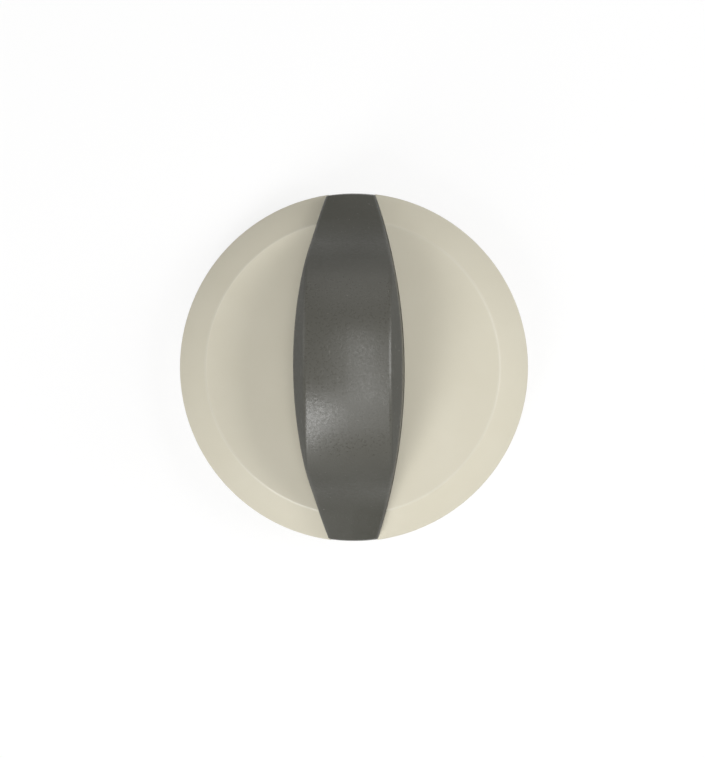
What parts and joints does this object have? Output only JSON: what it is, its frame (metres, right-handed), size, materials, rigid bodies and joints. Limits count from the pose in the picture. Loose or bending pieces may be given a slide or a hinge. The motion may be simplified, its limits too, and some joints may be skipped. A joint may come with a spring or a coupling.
{
  "type": "washing machine knob",
  "caption": "Round control knob with a sloping band, a flat face and an arched grip bar across it, pushed on to a D-shaped shaft.",
  "frame": {"origin": "centre of the rim's underside, on the shaft axis", "axes": "+Z along the shaft axis, out of the machine towards the user; the grip bar runs along Y"},
  "size_m": [0.06, 0.06, 0.0295],
  "materials": {
    "cream_plastic": "satin moulded plastic, cream",
    "grey_plastic": "satin moulded plastic, dark grey, a little worn",
    "spring_steel": "bright spring strip"
  },
  "bodies": {
    "root": {"dial_cap": "cream_plastic", "grip_bar": "grey_plastic", "hub_spring": "spring_steel"}
  },
  "joints": []
}
